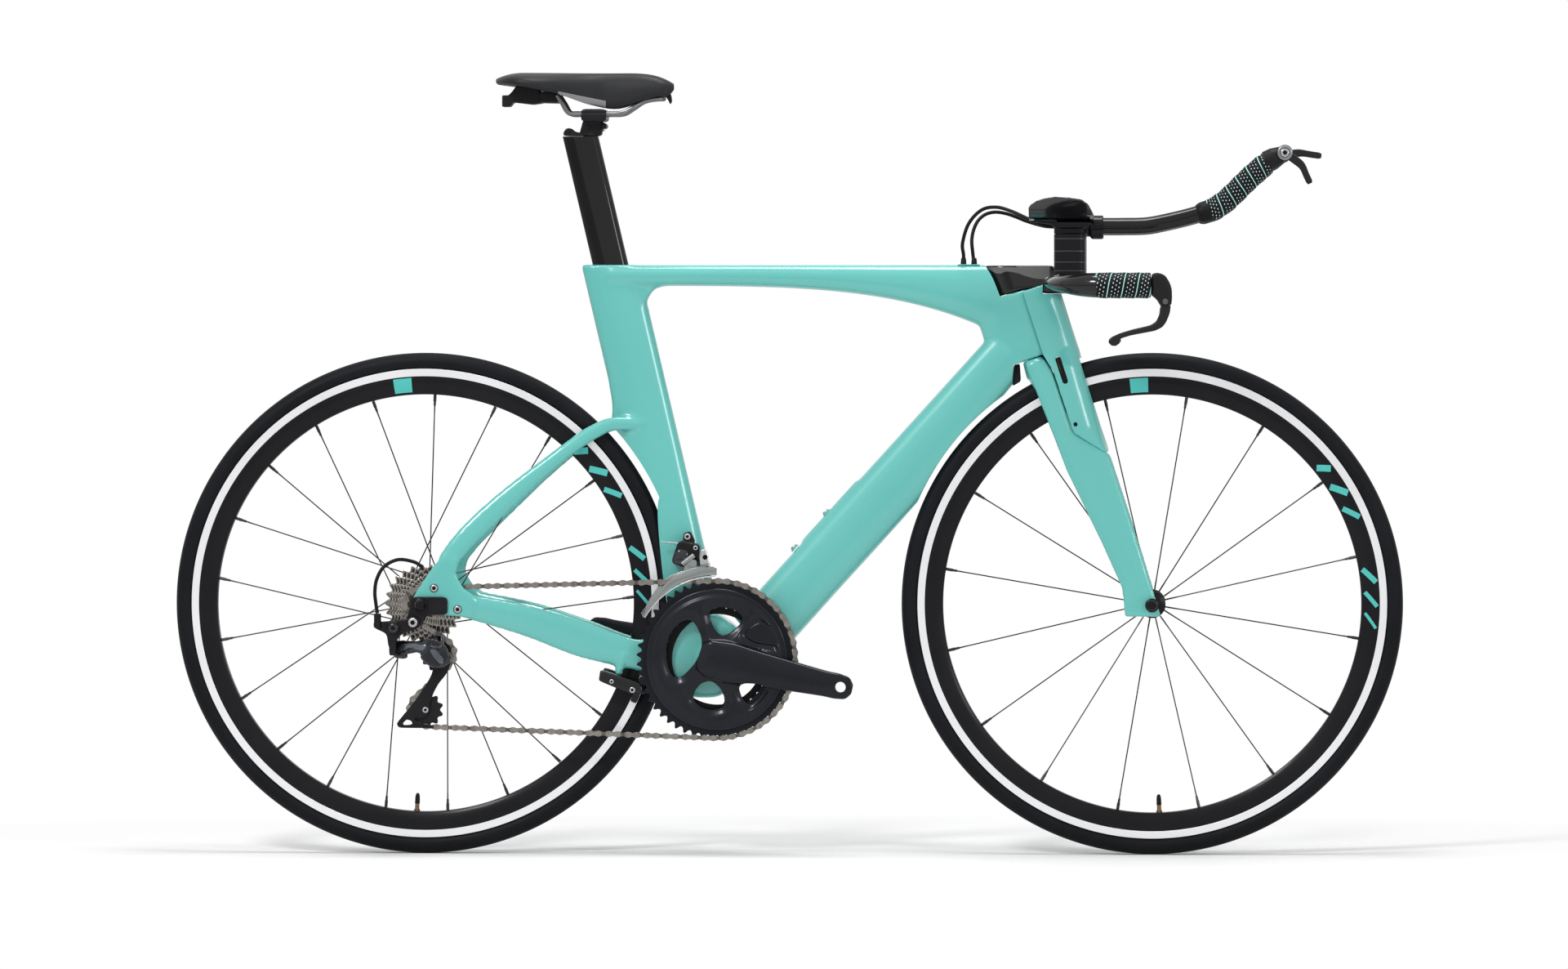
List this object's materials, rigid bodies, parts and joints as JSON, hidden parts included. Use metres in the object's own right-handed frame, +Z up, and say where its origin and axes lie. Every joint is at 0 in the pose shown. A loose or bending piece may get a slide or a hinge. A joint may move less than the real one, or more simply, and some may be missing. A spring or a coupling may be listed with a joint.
{
  "type": "road bike",
  "caption": "Aero time-trial road bike with forearm pads and extensions, rim brakes, a double crankset and turning wheels, steering, brakes and gears.",
  "frame": {"origin": "on the ground, midway between the two tyres' contact points", "axes": "+X forward, +Y to the rider's left, +Z up"},
  "size_m": [1.6476, 0.4128, 1.0475],
  "materials": {
    "bare_alloy": "brushed",
    "black_anodised": "black anodised",
    "black_carbon": "satin clear coat over carbon",
    "black_plastic": "moulded, fine grain",
    "chain_steel": "oiled steel",
    "grey_anodised": "dark grey anodised",
    "pad_foam": "foam under a stitched skin",
    "rubber": "matt rubber",
    "turquoise_lacquer": "gloss lacquer over moulded carbon",
    "valve_brass": "plain"
  },
  "bodies": {
    "frame_body": {"frame": "turquoise_lacquer", "derailleur_hanger": "black_anodised", "bb_cup_right": "black_anodised", "bb_cup_left": "black_anodised", "headset_bearing_upper": "chain_steel", "headset_bearing_lower": "chain_steel", "chain": "chain_steel", "front_derailleur_body": "black_anodised", "rd_b_knuckle": "black_anodised", "rear_skewer": "black_anodised", "shift_cable_rear": "rubber", "cable_loop_a": "rubber", "cable_loop_b": "rubber"},
    "seat": {"seatpost": "black_carbon", "saddle_clamp": "black_anodised", "saddle_rails": "grey_anodised", "saddle_shell": "black_plastic", "saddle_cover": "pad_foam", "saddle_bracket": "black_plastic"},
    "crankset": {"crank_arm_right": "grey_anodised", "crank_arm_left": "grey_anodised", "chainring_outer": "grey_anodised", "chainring_inner": "black_anodised"},
    "rear_wheel": {"rear_tyre": "rubber", "rear_rim": "black_anodised", "rear_hub_spokes": "black_anodised", "rear_valve": "valve_brass"},
    "cassette_body": {"cassette": "chain_steel"},
    "steering": {"fork": "turquoise_lacquer", "fork_cover": "turquoise_lacquer", "base_bar": "black_carbon", "riser_right": "black_anodised", "riser_left": "black_anodised", "arm_pad_right": "pad_foam", "arm_pad_left": "pad_foam", "extension_right": "black_carbon", "extension_left": "black_carbon", "front_skewer": "black_anodised", "brake_hood_right": "black_plastic", "brake_hood_left": "black_plastic"},
    "front_wheel": {"front_tyre": "rubber", "front_rim": "black_anodised", "front_hub_spokes": "black_anodised", "front_valve": "valve_brass"},
    "lever_right": {"brake_lever_right": "black_anodised"},
    "lever_left": {"brake_lever_left": "black_anodised"},
    "shifter_right": {"shift_lever_right": "black_anodised"},
    "shifter_left": {"shift_lever_left": "black_anodised"},
    "link": {"rd_link": "black_anodised"},
    "knuckle": {"rd_p_knuckle": "grey_anodised"},
    "cage": {"rd_cage": "black_anodised"},
    "upper_pulley": {"guide_pulley": "black_plastic"},
    "lower_pulley": {"tension_pulley": "black_plastic"},
    "fd_cage": {"front_derailleur_cage": "bare_alloy"},
    "rear_arm_right": {"rear_brake_arm_right": "black_anodised"},
    "rear_arm_left": {"rear_brake_arm_left": "black_anodised"},
    "front_arm_right": {"front_brake_arm_right": "black_anodised"},
    "front_arm_left": {"front_brake_arm_left": "black_anodised"},
    "front_qr": {"front_qr_lever": "black_anodised"},
    "rear_qr": {"rear_qr_lever": "black_anodised"}
  },
  "joints": [
    {"name": "steering_turn", "type": "hinge", "parent": "frame_body", "child": "steering", "pos_m": [0.3352, 0, 0.66652], "axis": [-0.309, 0, 0.9511], "range_deg": [-30, 30], "deforming": ["cable_loop_a", "cable_loop_b"]},
    {"name": "front_wheel_spin", "type": "hinge", "parent": "steering", "child": "front_wheel", "pos_m": [0.4878, 0, 0.336], "axis": [0, 1, 0], "continuous": true},
    {"name": "rear_wheel_spin", "type": "hinge", "parent": "frame_body", "child": "rear_wheel", "pos_m": [-0.4878, 0, 0.336], "axis": [0, 1, 0], "continuous": true},
    {"name": "crank_spin", "type": "hinge", "parent": "frame_body", "child": "crankset", "pos_m": [-0.09359, 0, 0.2625], "axis": [0, 1, 0], "continuous": true, "deforming": ["chain"]},
    {"name": "cassette_spin", "type": "hinge", "parent": "frame_body", "child": "cassette_body", "pos_m": [-0.4878, 0, 0.336], "axis": [0, 1, 0], "continuous": true},
    {"name": "seat_slide", "type": "slide", "parent": "frame_body", "child": "seat", "axis": [-0.2284, 0, 0.9736], "range_m": [-0.05, 0.03]},
    {"name": "brake_lever_right_pull", "type": "hinge", "parent": "steering", "child": "lever_right", "pos_m": [0.5049, -0.19, 0.7405], "axis": [0, 1, 0], "range_deg": [0, 25], "stiffness_Nm_per_rad": 0.4},
    {"name": "brake_lever_left_pull", "type": "hinge", "parent": "steering", "child": "lever_left", "pos_m": [0.5049, 0.19, 0.7405], "axis": [0, 1, 0], "range_deg": [0, 25], "stiffness_Nm_per_rad": 0.4},
    {"name": "rear_arm_right_close", "type": "hinge", "parent": "frame_body", "child": "rear_arm_right", "pos_m": [-0.22799, -0.033, 0.241], "axis": [0.314, 0, 0.9494], "range_deg": [0, 4]},
    {"name": "rear_arm_left_close", "type": "hinge", "parent": "frame_body", "child": "rear_arm_left", "pos_m": [-0.22799, 0.033, 0.241], "axis": [-0.314, 0, -0.9494], "range_deg": [0, 4]},
    {"name": "front_arm_right_close", "type": "hinge", "parent": "steering", "child": "front_arm_right", "pos_m": [0.36502, -0.0192, 0.65886], "axis": [0.9511, 0, 0.309], "range_deg": [0, 3.8]},
    {"name": "front_arm_left_close", "type": "hinge", "parent": "steering", "child": "front_arm_left", "pos_m": [0.36502, 0.0192, 0.65886], "axis": [-0.9511, 0, -0.309], "range_deg": [0, 3.8]},
    {"name": "shift_lever_right_turn", "type": "hinge", "parent": "steering", "child": "shifter_right", "pos_m": [0.664, -0.0743, 0.9383], "axis": [0, -1, 0], "range_deg": [0, 60]},
    {"name": "shift_lever_left_turn", "type": "hinge", "parent": "steering", "child": "shifter_left", "pos_m": [0.664, 0.0743, 0.9383], "axis": [0, 1, 0], "range_deg": [0, 45]},
    {"name": "derailleur_link_swing", "type": "hinge", "parent": "frame_body", "child": "link", "pos_m": [-0.5128, -0.062, 0.276], "axis": [0, 0.4695, 0.8829], "range_deg": [0, 49.6]},
    {"name": "derailleur_knuckle_turn", "type": "hinge", "parent": "link", "child": "knuckle", "pos_m": [-0.46741, -0.08052, 0.28585], "axis": [0, 0.4695, 0.8829], "range_deg": [-49.6, 0]},
    {"name": "derailleur_cage_swing", "type": "hinge", "parent": "knuckle", "child": "cage", "pos_m": [-0.457, -0.067, 0.266], "axis": [0, 1, 0], "range_deg": [-45, 12], "stiffness_Nm_per_rad": 0.3},
    {"name": "upper_pulley_spin", "type": "hinge", "parent": "cage", "child": "upper_pulley", "pos_m": [-0.466, -0.06, 0.27], "axis": [0, 1, 0], "continuous": true},
    {"name": "lower_pulley_spin", "type": "hinge", "parent": "cage", "child": "lower_pulley", "pos_m": [-0.4824, -0.06, 0.1956], "axis": [0, 1, 0], "continuous": true},
    {"name": "front_derailleur_swing", "type": "hinge", "parent": "frame_body", "child": "fd_cage", "pos_m": [-0.13199, -0.045, 0.396], "axis": [0.7901, 0, 0.613], "range_deg": [0, 13]},
    {"name": "front_quick_release", "type": "hinge", "parent": "steering", "child": "front_qr", "pos_m": [0.4878, 0.072, 0.336], "axis": [-0.8924, 0, -0.4512], "range_deg": [0, 165]},
    {"name": "rear_quick_release", "type": "hinge", "parent": "frame_body", "child": "rear_qr", "pos_m": [-0.4878, 0.0862, 0.336], "axis": [-0.7121, 0, 0.7021], "range_deg": [0, 165]}
  ],
  "couplings": [
    {"joint": "cassette_spin", "follows": "crank_spin", "ratio": 4.7273},
    {"joint": "upper_pulley_spin", "follows": "crank_spin", "ratio": -4.7273},
    {"joint": "lower_pulley_spin", "follows": "crank_spin", "ratio": 4.7273},
    {"joint": "rear_arm_right_close", "follows": "brake_lever_right_pull", "ratio": 0.1599},
    {"joint": "rear_arm_left_close", "follows": "brake_lever_right_pull", "ratio": 0.1599},
    {"joint": "front_arm_right_close", "follows": "brake_lever_left_pull", "ratio": 0.1519},
    {"joint": "front_arm_left_close", "follows": "brake_lever_left_pull", "ratio": 0.1519},
    {"joint": "derailleur_link_swing", "follows": "shift_lever_right_turn", "ratio": 0.82657},
    {"joint": "derailleur_knuckle_turn", "follows": "shift_lever_right_turn", "ratio": -0.82657},
    {"joint": "front_derailleur_swing", "follows": "shift_lever_left_turn", "ratio": 0.28879}
  ]
}
